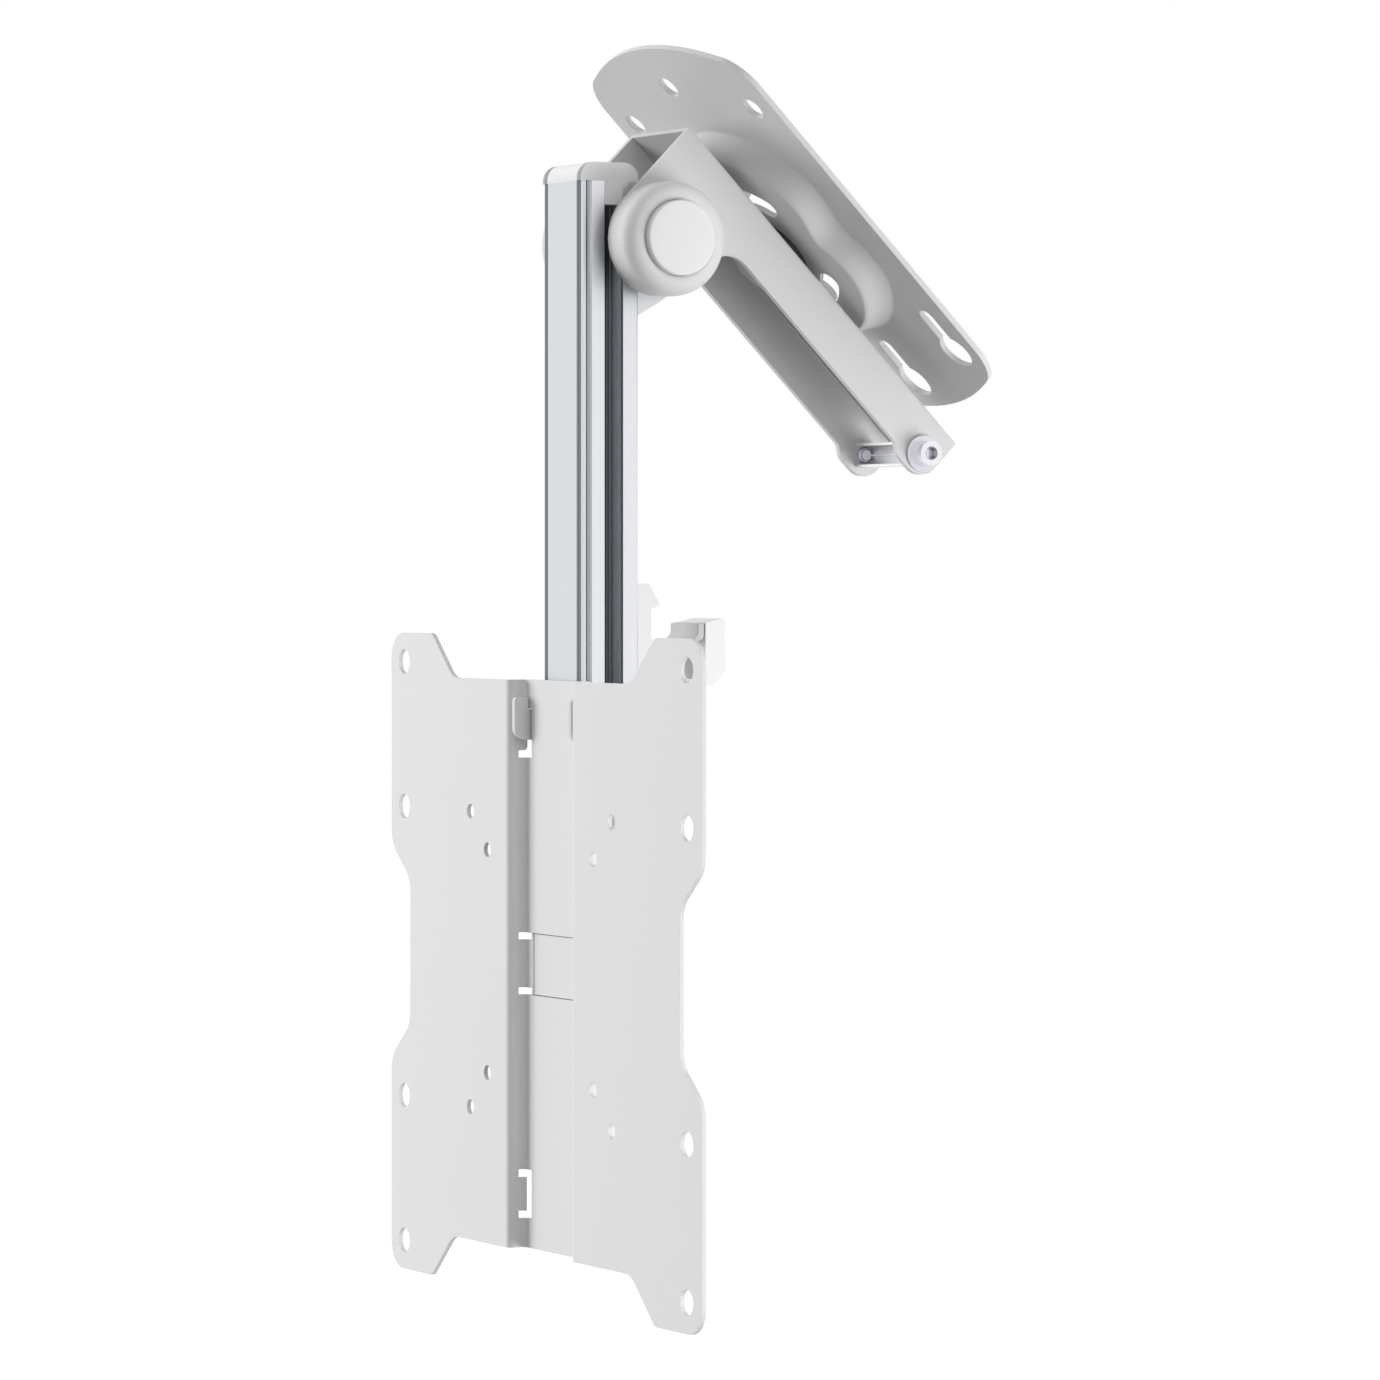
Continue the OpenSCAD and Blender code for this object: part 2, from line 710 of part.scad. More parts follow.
// Side outline of the hinge block, with the gusset down the pole's back
module block_side() {
    circle(d = barrel_d);
    polygon(rounded([
        [pole_back, block_rise, 0],
        [pole_back, -block_drop, 0.5],
        [6, -block_drop + 6.3, 5],
        [barrel_d / 2 - 1, 0, 0],
        [5, block_rise, 4]
    ]));
}

module hinge_block() {
    color("gainsboro") on_pole() difference() {
        union() {
            intersection() {
                along_x(block_w) block_side();
                translate([-block_w / 2, pole_back, -block_drop - past])
                    cube([block_w, pivot_back + barrel_d, block_drop + block_rise + 2 * past]);
            }
            intersection() {
                rod_x(barrel_d / 2 - 1, -barrel_end, barrel_end);
                translate([-barrel_end, pole_back + 0.5, -barrel_d])
                    cube([2 * barrel_end, barrel_d, 2 * barrel_d]);
            }
        }
        rod_x(pivot_d / 2 + run_gap, -barrel_end - past, barrel_end + past);
        for (z = [-hinge_screw_drop, hinge_screw_rise]) translate([0, 0, z]) {
            rod_y(m5_d / 2 + screw_gap, pole_back - past, barrel_d);
            rod_y(m5_head_d / 2 + screw_gap, 0, barrel_d);
        }
    }
}

// A socket-head screw along Y: head seat at y = 0, shank towards -Y
module socket_screw(shank) {
    difference() {
        union() {
            rod_y(m5_head_d / 2, 0, m5_head_h);
            rod_y(m5_d / 2, -shank, 0);
        }
        rotate([-90, 0, 0]) hex_z(m5_key, m5_head_h - 2.6, m5_head_h + past);
    }
}

// A nut for the pole's rear slot, on the slot's middle, with its neck between the lips
module rear_slot_nut() {
    difference() {
        union() {
            translate([-rear_inner_w / 2 + 0.3, pole_back - slot_lip - slot_nut_t, -slot_nut_len / 2])
                cube([rear_inner_w - 0.6, slot_nut_t, slot_nut_len]);
            translate([-slot_w / 2 + 0.2, pole_back - slot_lip - 0.1, -slot_nut_len / 2])
                cube([slot_w - 0.4, slot_lip - 0.1, slot_nut_len]);
        }
        rod_y(m5_d / 2 + thread_gap, pole_front, 0);
    }
}

module hinge_screws() {
    color("silver") on_pole() for (z = [-hinge_screw_drop, hinge_screw_rise])
        translate([0, 0, z]) socket_screw(pivot_back + slot_lip + slot_nut_t - 0.4);
}

module hinge_slot_nuts() {
    color("gray") on_pole() for (z = [-hinge_screw_drop, hinge_screw_rise])
        translate([0, 0, z]) rear_slot_nut();
}

// One side slot of the pole, cut inwards from the side face
module side_slot() {
    side = pole_w / 2;
    floor_x = side - slot_lip - slot_inner_d;
    translate([side - slot_lip - past, slot_y - slot_w / 2]) square([slot_lip + 2 * past, slot_w]);
    difference() {
        translate([floor_x, slot_y - slot_inner_w / 2]) square([slot_inner_d, slot_inner_w]);
        for (k = [-1:1]) translate([floor_x, slot_y + k * 2.2 - 0.3]) square([0.5, 0.6]);
    }
}

// Cross-section of the pole, from its front face back
module pole_section() {
    side = pole_w / 2;
    difference() {
        polygon(rounded(mirrored([
            [side - 3.1, 0, 0],
            [side - 2.9, 0.5, 0],
            [side - 0.3, 0.5, 0.3],
            [side, 0.9, 0.3],
            [side, 1.9, 0],
            [side - 0.9, 2.2, 0],
            [side - 0.9, 3.1, 0],
            [side, 4.1, 0],
            [side, pole_d, 0.8]
        ]), 3));
        for (s = [0, 1]) mirror([s, 0]) side_slot();
        translate([-slot_w / 2, pole_d - slot_lip - past]) square([slot_w, slot_lip + 2 * past]);
        translate([-rear_inner_w / 2, pole_d - slot_lip - rear_inner_d])
            square([rear_inner_w, rear_inner_d]);
        translate([0, slot_y - 2.2]) circle(d = 5);
        for (s = [-1, 1]) translate([s * side * 0.5 - 3.2, 1.8]) square([6.4, 3.6]);
    }
}

module pole_profile() {
    color("lightsteelblue") on_pole() difference() {
        translate([0, pole_front, pole_bottom]) linear_extrude(pole_len) pole_section();
        for (s = [-1, 1], z = catch_screw_z) translate([s * catch_screw_x, 0, z])
            rod_y(catch_screw_d / 2 + thread_gap, pole_back - catch_screw_depth - 0.3, pole_back + past);
    }
}

// A tongue of the top cap that fills the upper end of a side slot
module cap_tongue() {
    side = pole_w / 2;
    w = slot_w - 0.2;
    translate([side - slot_lip, slot_mid - w / 2, pole_rise - tongue_drop])
        cube([slot_lip, w, tongue_drop + past]);
    inner = side - slot_lip - slot_inner_d + 0.8;
    translate([inner, slot_mid - slot_inner_w / 2 + 0.2, pole_rise - tongue_drop])
        cube([slot_inner_d - 0.9, slot_inner_w - 0.4, tongue_drop + past]);
}

module pole_top_cap() {
    top = pole_rise + cap_rise;
    color("whitesmoke") on_pole() {
        along_x(pole_w) polygon(rounded([
            [pole_back, pole_rise, 0],
            [pole_back, top, cap_round_r],
            [pole_front, top, cap_round_r],
            [pole_front, pole_rise, 0]
        ], 8));
        for (s = [0, 1]) mirror([s, 0, 0]) cap_tongue();
    }
}

module pole_bottom_cap() {
    color("dimgray") on_pole() {
        translate([0, 0, pole_bottom - foot_h]) linear_extrude(foot_h) polygon(rounded([
            [pole_w / 2, pole_front, 1],
            [pole_w / 2, pole_back, 1],
            [-pole_w / 2, pole_back, 1],
            [-pole_w / 2, pole_front, 1]
        ]));
        translate([-4.8, pole_back - slot_lip - rear_inner_d + 0.3, pole_bottom - past])
            cube([9.6, rear_inner_d - 0.6, 7 + past]);
    }
}

// Side outline of the catch hook, with the tail that the latch block slides on
module hook_side() {
    back = pole_back;
    neck = back + hook_neck;
    tip = -hook_top - 7;
    polygon(rounded([
        [back, -hook_top, 0.6],
        [neck - 0.8, -hook_top, 1],
        [neck + barb_out, tip, 0.5],
        [neck, tip - 1.5, 0],
        [neck, post_top, 5],
        [post_y, post_top, 0],
        [post_y, post_low, 0],
        [neck + 3, post_low, 8],
        [neck - 4, catch_base_bottom + 3, 4],
        [back, catch_base_bottom + 3, 0]
    ]));
}

module catch_hook() {
    color("gainsboro") on_pole() difference() {
        union() {
            along_x(catch_t) hook_side();
            translate([-catch_base_w / 2, pole_back, catch_base_bottom])
                cube([catch_base_w, catch_base_t, catch_base_top - catch_base_bottom]);
            translate([0, post_y, post_low]) cylinder(d = post_d, h = post_top - post_low);
        }
        for (s = [-1, 1], z = catch_screw_z) translate([s * catch_screw_x, 0, z])
            rod_y(catch_screw_d / 2 + screw_gap, pole_back - past, pole_back + catch_base_t + past);
    }
}

module catch_screws() {
    seat = pole_back + catch_base_t;
    color("silver") on_pole() for (s = [-1, 1], z = catch_screw_z)
        translate([s * catch_screw_x, 0, z]) difference() {
        union() {
            rod_y(catch_screw_d, seat, seat + 1.8);
            rod_y(catch_screw_d / 2, pole_back - catch_screw_depth, seat);
        }
        translate([0, seat + 0.8, 0]) rotate([-90, 0, 0]) hex_z(2.5, 0, 2);
    }
}

// Side outline of the latch block
module latch_side() {
    front = pole_back + latch_front + pad_t + pad_gap;
    back = pole_back + latch_front + latch_d;
    polygon(rounded([
        [front, -latch_top, 0.6],
        [front, latch_bottom, 0.6],
        [front + 3, latch_bottom, 1],
        [back, latch_bottom + 4.5, 1],
        [back, -latch_top + latch_rise, 1]
    ]));
}

// The track in the latch block, open at its foot and towards the pole
module latch_track() {
    top = post_top + 0.5;
    slot = catch_t + 2 * slide_gap;
    translate([0, post_y, latch_bottom - past])
        cylinder(r = post_d / 2 + run_gap, h = top - latch_bottom + past);
    translate([-slot / 2, pole_back + latch_front - 10, latch_bottom - past])
        cube([slot, latch_d / 2 + 10, top - latch_bottom + past]);
}

module latch_block() {
    color("whitesmoke") on_pole() difference() {
        along_x(latch_w) latch_side();
        latch_track();
    }
}

module latch_pad() {
    front = pole_back + latch_front;
    low = -latch_top - latch_pad_h;
    color("lightgray") on_pole() difference() {
        along_x(latch_w - 0.8) polygon(rounded([
            [front, -latch_top - 0.3, 0.5],
            [front, low + 3.4, 2],
            [front - 2, low + 1.2, 0.4],
            [front - 1.4, low, 0.4],
            [front + pad_t, low + 2, 1.5],
            [front + pad_t, -latch_top + 0.1, 0.3]
        ]));
        latch_track();
    }
}

// Side outline of a carriage flange with its hook, at the television plate's height
module flange_side() {
    neck_top = hook_slot_top - 0.2;
    neck_low = neck_top - hook_neck_h;
    tip_top = neck_top + hook_finger_h;
    tip_front = flange_front - hook_reach;
    finger_back = tv_front + channel_d - 0.4;
    polygon(rounded([
        [carriage_back, carriage_bottom, 3],
        [carriage_back, carriage_web_top + 2, 6],
        [carriage_back - 8, carriage_top, 6],
        [flange_front, carriage_top, 0],
        [flange_front, neck_top, 0],
        [finger_back, neck_top, 0],
        [finger_back, tip_top, 1],
        [tip_front, tip_top, 1.5],
        [tip_front, neck_low, 4],
        [flange_front, neck_low, 0],
        [flange_front, carriage_bottom, 3]
    ]));
}

module carriage_channel() {
    color("gainsboro") on_tv() difference() {
        intersection() {
            along_x(carriage_w) flange_side();
            union() {
                for (s = [-1, 1]) translate([s * (flange_in + flange_out) / 2, 0, 0])
                    cube([carriage_t, 100, 400], center = true);
                translate([0, carriage_back - carriage_t / 2, (carriage_web_top + carriage_bottom) / 2])
                    cube([carriage_w, carriage_t, carriage_web_top - carriage_bottom], center = true);
            }
        }
        for (z = clamp_z) translate([0, slot_mid, z])
            rod_x(clamp_d / 2 + screw_gap, -flange_out - past, flange_out + past);
    }
}

// A plastic shoe between the pole's side and the flange, with a tongue in the slot
module guide_shoe() {
    side = pole_w / 2;
    shoe_w = 15;
    difference() {
        union() {
            translate([side + slide_gap, slot_mid - shoe_w / 2, 0])
                cube([flange_in - side - slide_gap, shoe_w, shoe_len]);
            translate([side - slot_lip + 0.2, slot_mid - slot_w / 2 + slide_gap, 0])
                cube([slot_lip + past, slot_w - 2 * slide_gap, shoe_len]);
        }
        translate([0, slot_mid, shoe_len / 2]) rod_x(clamp_d / 2 + 0.1, 0, flange_out);
    }
}

module guide_shoes() {
    color("dimgray") on_tv() for (s = [0, 1], z = shoe_z)
        mirror([s, 0, 0]) translate([0, 0, z]) guide_shoe();
}

module clamp_screws() {
    side = pole_w / 2;
    color("silver") on_tv() for (s = [0, 1], z = clamp_z)
        mirror([s, 0, 0]) translate([0, slot_mid, z]) difference() {
        union() {
            rod_x(clamp_d / 2, side - slot_lip - slot_inner_d + 0.8, flange_out);
            rod_x(clamp_d * 0.85, flange_out, flange_out + clamp_head_h);
        }
        translate([flange_out + 1.2, 0, 0]) rotate([0, 90, 0]) hex_z(4, 0, clamp_head_h);
    }
}

module clamp_slot_nuts() {
    side = pole_w / 2;
    start = side - slot_lip - slot_inner_d + 0.7;
    color("gray") on_tv() for (s = [0, 1], z = clamp_z)
        mirror([s, 0, 0]) translate([0, slot_mid, z]) difference() {
        translate([start, -slot_inner_w / 2 + 0.2, -slot_nut_len / 2])
            cube([slot_inner_d - 0.8, slot_inner_w - 0.4, slot_nut_len]);
        rod_x(clamp_d / 2 + thread_gap, 0, side);
    }
}

// Front outline of the television plate, with its ears and side notches
module tv_outline() {
    half = tv_size / 2;
    mid = tv_mid_h / 2;
    ear = ear_gap / 2;
    quarter = [
        [half - notch_d, notch_h / 2, 10],
        [half, notch_h / 2 + 12, 10],
        [half, half, 9],
        [ear, half, 4],
        [ear - (half - mid) * 1.07, mid, 9]
    ];
    low = [for (i = [len(quarter) - 1:-1:0]) [quarter[i][0], -quarter[i][1], quarter[i][2]]];
    polygon(rounded(mirrored(concat(low, quarter)), 6));
}

// Cross-section of the television plate, from above, on its front face
module tv_section() {
    half = tv_size / 2;
    wall = channel_w / 2;
    polygon(rounded(mirrored([
        [wall, channel_d, 1.6],
        [wall, 0, 2.2],
        [half + past, 0, 0],
        [half + past, tv_t, 0],
        [wall + tv_t, tv_t, 0.7],
        [wall + tv_t, channel_d + tv_t, 2.6]
    ]), 5));
}

// A cut through the channel's corner, floor and wall together
module corner_notch(z0, z1) {
    translate([slot_inner, channel_d - 2.5, z0]) cube([8, 6, z1 - z0]);
}

// A cut through the channel's corner that leaves the wall standing
module corner_slot(z0, z1) {
    translate([slot_inner, channel_d - 1.7, z0]) cube([channel_w / 2 - 0.5 - slot_inner, 6, z1 - z0]);
    translate([slot_inner, channel_d + 0.6, z0]) cube([8, 6, z1 - z0]);
}

// The slot that hangs on the carriage's hook, with a notch at its foot
module hook_slot() {
    low = hook_slot_top - hook_slot_h;
    corner_slot(low, hook_slot_top);
    translate([slot_inner, 0, 0]) rotate([90, 0, 90]) linear_extrude(8) polygon(rounded([
        [channel_d + 0.6, hook_slot_top, 0],
        [channel_d + 0.6, low + notch_len, 1.4],
        [channel_d - 2.5, low + notch_len, 0],
        [channel_d - 2.5, low, 0],
        [channel_d + 3, low, 0],
        [channel_d + 3, hook_slot_top, 0]
    ]));
}

// The slot at the plate's foot, where a tab of the wall is cut free
module tab_slot() {
    top = hook_slot_h - hook_slot_top;
    corner_slot(-hook_slot_top, top);
    corner_notch(-hook_slot_top, notch_len - hook_slot_top);
    corner_notch(top - notch_len, top);
    translate([channel_w / 2 - 3, 2.5, notch_len - hook_slot_top])
        cube([6, 8, hook_slot_h - 2 * notch_len]);
}

// The tab beside a lower slot, bent towards the middle of the channel
module bent_tab() {
    root = channel_w / 2;
    translate([0, 0, notch_len - hook_slot_top + 0.2]) linear_extrude(hook_slot_h - 2 * notch_len - 0.4)
        polygon(rounded([
            [root + tv_t - 0.1, 2.2, 0],
            [root + 0.1, 2.2, 0],
            [root - 0.1, 3.4, 3],
            [root - 1.6, channel_d - 0.2, 0],
            [root - 0.3, channel_d + 0.4, 0],
            [root + tv_t - 0.2, 3.6, 3]
        ], 4));
}

// The pad that is sheared along its top and bottom and pressed back
module pressed_pad() {
    translate([0, channel_d + tv_t / 2 + pad_press, 0])
        cube([2 * pad_half + 0.4, tv_t, pad_h - 0.6], center = true);
}

module tv_plate() {
    notch = pad_h / 2 - notch_len;
    deep = 3 * channel_d;
    color("white") on_tv() translate([0, tv_front, 0]) {
        difference() {
            intersection() {
                translate([0, 0, -tv_size / 2 - past]) linear_extrude(tv_size + 2 * past) tv_section();
                translate([0, deep, 0]) rotate([90, 0, 0]) linear_extrude(deep + past) tv_outline();
            }
            for (s = [0, 1]) mirror([s, 0, 0]) {
                hook_slot();
                tab_slot();
                corner_notch(notch, pad_h / 2);
                corner_notch(-pad_h / 2, -notch);
            }
            translate([0, channel_d + tv_t / 2, 0])
                cube([2 * pad_half, 2 * tv_t + past, pad_h], center = true);
            for (s = [-1, 1]) translate([0, channel_d + tv_t / 2, s * (pad_h / 2 - 0.15)])
                cube([2 * slot_inner + 0.4, 2 * tv_t + past, 0.3], center = true);
            for (x = [-1, 1], z = [-1, 1]) {
                for (h = [vesa_large / 2, vesa_mid / 2])
                    translate([x * vesa_large / 2, 0, z * h]) rod_y(vesa_large_d / 2, -past, tv_t + past);
                for (h = [vesa_mid / 2, vesa_small / 2])
                    translate([x * h, 0, z * h]) rod_y(vesa_small_d / 2, -past, tv_t + past);
            }
        }
        pressed_pad();
        for (s = [0, 1]) mirror([s, 0, 0]) bent_tab();
    }
}

ceiling_plate();
swivel_bolt();
swivel_nut();
swivel_bush();
swivel_disc_spring();
stop_screws();
stop_nuts();
arm_bracket();
catch_bar();
bar_inserts();
bar_screws();
bar_washers();
pivot_bolt();
pivot_nut();
pivot_washers();
cover_ring_right();
cover_ring_left();
cover_cap_right();
cover_cap_left();
friction_discs();
hinge_block();
hinge_screws();
hinge_slot_nuts();
pole_profile();
pole_top_cap();
pole_bottom_cap();
catch_hook();
catch_screws();
latch_block();
latch_pad();
carriage_channel();
guide_shoes();
clamp_screws();
clamp_slot_nuts();
tv_plate();
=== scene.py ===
import json
import math

import bmesh
import bpy
from mathutils import Matrix, Vector


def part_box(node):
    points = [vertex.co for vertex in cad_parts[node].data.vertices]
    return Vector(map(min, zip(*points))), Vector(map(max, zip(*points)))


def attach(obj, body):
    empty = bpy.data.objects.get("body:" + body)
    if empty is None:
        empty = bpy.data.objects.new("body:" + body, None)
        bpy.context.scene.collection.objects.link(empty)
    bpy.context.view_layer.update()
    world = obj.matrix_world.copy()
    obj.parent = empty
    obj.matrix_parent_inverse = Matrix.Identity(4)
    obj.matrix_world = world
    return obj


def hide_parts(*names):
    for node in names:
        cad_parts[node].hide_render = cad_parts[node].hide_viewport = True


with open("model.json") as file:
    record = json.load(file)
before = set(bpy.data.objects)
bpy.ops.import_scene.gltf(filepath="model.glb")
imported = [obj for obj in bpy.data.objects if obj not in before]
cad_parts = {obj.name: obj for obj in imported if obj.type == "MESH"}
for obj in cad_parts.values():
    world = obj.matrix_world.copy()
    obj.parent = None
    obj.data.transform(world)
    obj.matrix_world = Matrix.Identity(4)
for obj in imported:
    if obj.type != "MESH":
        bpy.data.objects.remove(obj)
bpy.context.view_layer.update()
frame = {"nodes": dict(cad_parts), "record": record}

MM = 0.001


def axis_of(node):
    """Where a node's axis along X lies: its y and z in millimetres."""
    low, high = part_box(node)
    return (low.y + high.y) / 2 / MM, (low.z + high.z) / 2 / MM


# Lengths are in millimetres and angles in radians, down to the studio's values.

# Ceiling plate, drawn level and then tilted to the ceiling's slope. The share is how much of
# the width a large end round takes on each side.
TILT = math.radians(45)
PLATE_T = 2.0
PLATE_LEN, PLATE_W = 166.0, 104.0
PLATE_END_R, PLATE_CORNER_R = 100.0, 15.0
PLATE_END_SHARE = 0.36
HOLE_D, HOLE_R = 8.4, 66.0
HOLE_ANGLES = [math.radians(angle) for angle in (-37.4, 0.0, 37.4)]
KEY_D, KEY_SLOT, KEY_TRAVEL = 13.6, 6.5, 16.0
KEYS = [(0.0, 71.0), (40.0, 59.0), (-40.0, 59.0)]

# The plate's pressed boss, with the swivel's hole and the stop screws' two slots
BOSS_LEN, BOSS_W, BOSS_WAIST = 92.6, 86.2, 70.0
BOSS_H, BOSS_DRAFT, BOSS_WAIST_POWER = 8.6, 6.5, 16
BOSS_POINTS, BOSS_STEPS = 144, 16
STOP_R, STOP_W = 24.0, 8.0
STOP_SWING = math.radians(45)
SWIVEL_D = 10.1

# Hinge covers: a ring on the arm's wall, and a disc whose stem is clipped into it. Each point of
# the ring's lip lies so far over the ring's height and so far outside the disc. A rounded edge
# ends so far from straight outwards.
PIVOT = Vector((0.0, *axis_of("cover_cap_right")))
WALL_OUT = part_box("arm_bracket")[1].x / MM
RING_R, RING_H, RING_EDGE_R, RING_FOOT_R = 19.0, 12.6, 5.4, 0.4
RING_LIP = [(0.05, 1.2), (-0.1, 0.6), (-0.5, 0.16)]
DISC_R, DISC_H, DISC_EDGE_R, DISC_CROWN = 12.5, 14.7, 0.8, 0.4
DISC_GAP, DISC_LAP = 0.12, 1.2
SEAT_DEPTH, STEM_LEN, STEM_GAP, STEM_LEAD_IN = 1.6, 3.0, 0.1, 0.5
EDGE_END = math.radians(6)

# Latch pad: its thickness, its height, how far its front's top falls, and a foot turned out
PAD_T, PAD_H, PAD_FALL = 2.3, 7.2, 0.4
TOE_OUT, TOE_UP, SOLE_OUT, HEEL_UP, SHIN_UP = 1.9, 1.3, 1.3, 2.0, 3.6

# Catch bar: a plug at each end, and how far its screw stands out of it
PLUG_R, PLUG_T, SCREW_OUT = 2.4, 1.0, 0.3

# Painted light and shade, in colour only: shade on the arm's web, shade and dimmer reflection on the
# pole and its cap, highlights on the catch bar and shade in the screw sockets. Each line gives where it
# starts, where it ends and its brightness.
ARM_SHADE, ARM_SHADE_HALF_W, ARM_SHADE_FROM = 0.47, 17.6, -22.8
POLE_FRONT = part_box("pole_profile")[0].y / MM
POLE_FACE = (-1.0, 0.62)
POLE_SLOT_FLOOR, POLE_SLOT = 11.4, (5.9, 18.6)
POLE_FACE_SHADE_LINES = [(10.3, 11.6, 0.28), (11.6, 12.5, 0.17), (-11.7, -9.9, 0.12), (-13.6, -11.7, 0.20)]
POLE_SIDE_SHADE_LINES = [(0.62, 1.85, 0.69), (1.85, 2.8, 0.06), (2.8, 4.05, 0.48), (21.05, 21.6, 0.45)]
POLE_SLOT_SHADE_BANDS = [(5.9, 12.9, 0.05), (12.9, 13.45, 0.15), (13.45, 14.1, 0.12), (14.1, 14.35, 0.40),
                  (14.35, 15.3, 0.22), (15.3, 15.7, 0.46), (15.95, 16.2, 0.60), (16.6, 16.8, 0.66),
                  (17.6, 18.0, 0.52)]
CAP_SHADE_LINES = [(10.4, 12.2, 0.40), (12.2, 13.2, 0.26), (-11.9, -10.4, 0.26), (-13.6, -11.9, 0.42)]
BAR_LIP_HIGHLIGHT_FROM, BAR_RIB_HIGHLIGHT_HALF_W = 2.9, 0.9
SOCKET_SHADES = [(2.35, 0.40), (1.8, 0.88)]

# Studio, in metres, degrees and watts. A lamp has its place, its aim, its width and its power.
LAMPS = {
    "key softbox": ((-1.95, -2.2, 0.4), (0, -0.09, -0.2), 1.7, 72.0),
    "side softbox": ((0.56, 0.40, -0.36), (0.02, 0.02, -0.12), 0.5, 4.9),
    "right softbox": ((1.0, 0.05, 1.0), (0.02, -0.06, -0.05), 0.8, 3.2),
}
AMBIENT = 0.47
FLOOR_Z, FLOOR_HALF_W, FLOOR_GREY, FLOOR_SEEN = -1.45, 60.0, 0.24, 0.86
CAMERA_PLACE, CAMERA_TURN = (1.71815, -1.0024, -0.1160), 60.74
CAMERA_LENS, CAMERA_SHIFT = 153.0, -0.0880


class Wire:
    """A node's output that takes part in sums, each of which adds a Math node.

    a | b is the greater of the two.
    """

    def __init__(self, shading, socket):
        self.shading = shading
        self.socket = socket

    def sum(self, operation, *values):
        return self.shading.node("ShaderNodeMath", {"operation": operation}, *values)

    def __add__(self, other):
        return self.sum("ADD", self, other)

    def __sub__(self, other):
        return self.sum("SUBTRACT", self, other)

    def __rsub__(self, other):
        return self.sum("SUBTRACT", other, self)

    def __mul__(self, other):
        return self.sum("MULTIPLY", self, other)

    def __gt__(self, other):
        return self.sum("GREATER_THAN", self, other)

    def __lt__(self, other):
        return self.sum("LESS_THAN", self, other)

    def __or__(self, other):
        return self.sum("MAXIMUM", self, other)

    def __abs__(self):
        return self.sum("ABSOLUTE", self)

    __radd__ = __add__
    __rmul__ = __mul__
    __ror__ = __or__


class Shading:
    """A node tree that is built from values and wires."""

    def __init__(self, tree):
        self.tree = tree

    def feed(self, socket, value):
        if isinstance(value, Wire):
            self.tree.links.new(value.socket, socket)
        elif value is not None:
            socket.default_value = value

    def node(self, kind, settings, *values, out=0, **named):
        """Adds a node of one type, sets it and feeds its sockets, in order or by name."""
        node = self.tree.nodes.new(kind)
        for key, value in settings.items():
            setattr(node, key, value)
        for socket, value in zip(node.inputs, values):
            self.feed(socket, value)
        for key, value in named.items():
            self.feed(node.inputs[key], value)
        return Wire(self, node.outputs[out])

    def ray(self, kind):
        return self.node("ShaderNodeLightPath", {}, out="Is %s Ray" % kind)

    def place(self):
        return self.node("ShaderNodeTexCoord", {}, out="Object")

    def axis(self, letter):
        return self.node("ShaderNodeSeparateXYZ", {}, self.place(), out=letter)

    def noise(self, scale, detail=2.0, stretch=(1.0, 1.0, 1.0)):
        spot = self.node("ShaderNodeVectorMath", {"operation": "MULTIPLY"}, self.place(), stretch)
        return self.node("ShaderNodeTexNoise", {}, Vector=spot, Scale=scale, Detail=detail)

    def between(self, mask, low, high):
        """A colour from low, where the mask is 0, to high, where it is 1."""
        other_types = [None] * 5
        return self.node("ShaderNodeMix", {"data_type": "RGBA"}, mask, *other_types, low, high, out=2)

    def bump(self, height, depth, strength):
        return self.node("ShaderNodeBump", {}, Height=height, Distance=depth, Strength=strength)


class Finish(Shading):
    """A material with one Principled shader."""

    def __init__(self, name, **sockets):
        self.material = bpy.data.materials.new(name)
        self.material.use_nodes = True
        super().__init__(self.material.node_tree)
        self.shader = self.tree.nodes["Principled BSDF"]
        self.set(**sockets)

    def set(self, **sockets):
        for name, value in sockets.items():
            title = name.replace("_", " ").title().replace("Ior", "IOR")
            self.feed(self.shader.inputs[title], value)
        return self


def grey(level, blue=0.0):
    """A grey with a share more blue."""
    return (level, level, level * (1.0 + blue), 1.0)


def steel(level):
    """A grey that leans to blue, and half as far to green."""
    return (level, level * 1.05, level * 1.10, 1.0)


POLE_DULL, POLE_BRIGHT = (0.78, 0.79, 0.815, 1.0), (0.88, 0.89, 0.915, 1.0)
# Painted shade: the pole's front face in a darker tone for its dimmer reflection, and the base tone
# between the shade bands in its slots
POLE_FACE_DIM_REFLECTION, POLE_SLOT_COAT = (0.715, 0.725, 0.755, 1.0), steel(0.80)
# The catch bar's own colour, and the painted highlight on its lips and rib
BAR_WEB, BAR_HIGHLIGHT = (0.86, 0.87, 0.89, 1.0), grey(0.97, 0.01)


def band(value, low, high):
    """One between two values given in millimetres, and zero elsewhere."""
    return (value > low * MM) * (value < high * MM)


def lined(metal, colour, faces, value, lines):
    """Lines of painted shade on some faces, each a band of one value."""
    for near, far, level in lines:
        colour = metal.between(faces * band(value, near, far), colour, steel(level))
    return colour


def unmarked(finish, colour):
    """The colour as it is, on pieces without marks."""
    return colour


def painted_web_shade(coat, colour):
    """Painted shade: a darker colour on the inner side of the arm's web, which leans as the ceiling
    does.
    """
    between_walls = abs(coat.axis("X")) < ARM_SHADE_HALF_W * MM
    on_web = coat.axis("Y") + coat.axis("Z") < ARM_SHADE_FROM * MM
    return coat.between(between_walls * on_web, colour, grey(ARM_SHADE))


